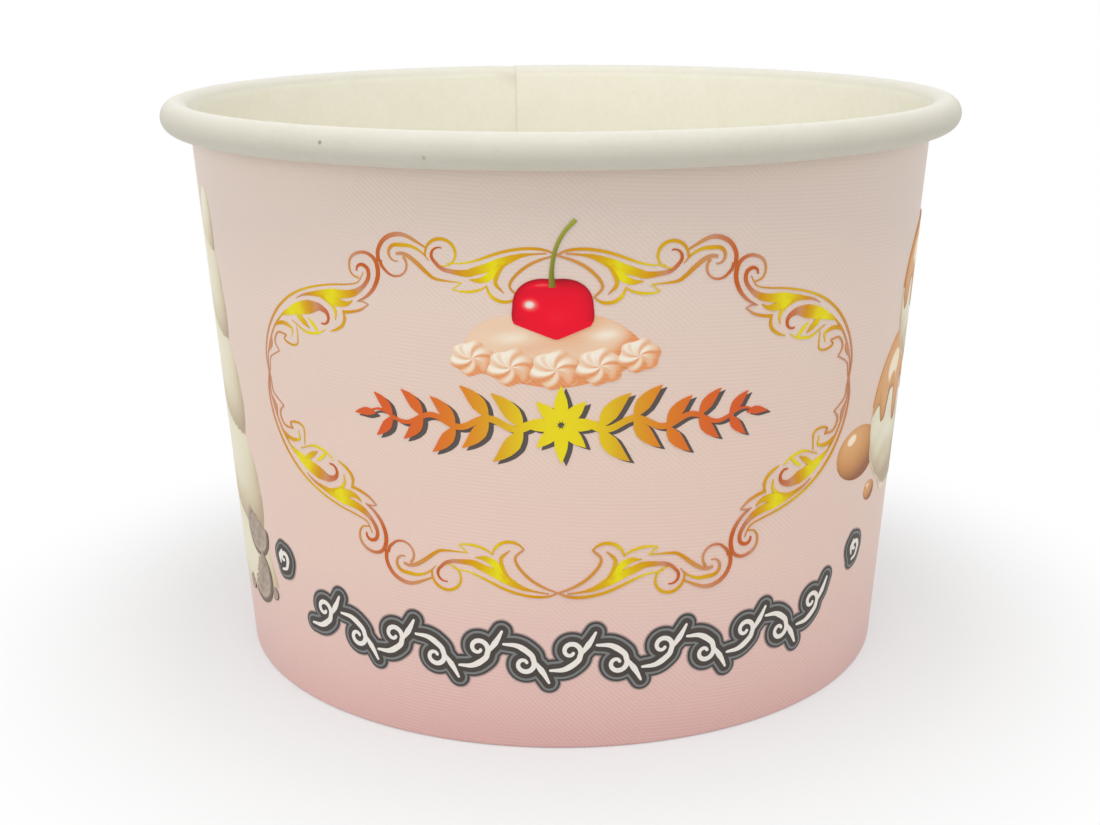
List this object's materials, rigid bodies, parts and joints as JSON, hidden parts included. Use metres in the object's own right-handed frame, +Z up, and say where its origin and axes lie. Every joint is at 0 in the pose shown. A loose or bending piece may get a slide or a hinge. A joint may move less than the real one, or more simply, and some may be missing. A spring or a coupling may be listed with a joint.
{
  "type": "paper dessert cup",
  "caption": "Tapered paper tub with a rolled rim and a raised floor, printed pink with gold scrolls, for ice cream and other desserts.",
  "frame": {"origin": "centre of the foot, on the plane that the cup stands on", "axes": "+Z up along the cup's axis, -Y towards the middle of the printed front, the glued lap at the back near +Y"},
  "size_m": [0.096, 0.096, 0.068],
  "materials": {
    "printed_board": "satin coated board, printed outside, white inside",
    "white_board": "satin coated white board"
  },
  "bodies": {
    "root": {"side_wall": "printed_board", "base_disc": "white_board"}
  },
  "joints": []
}
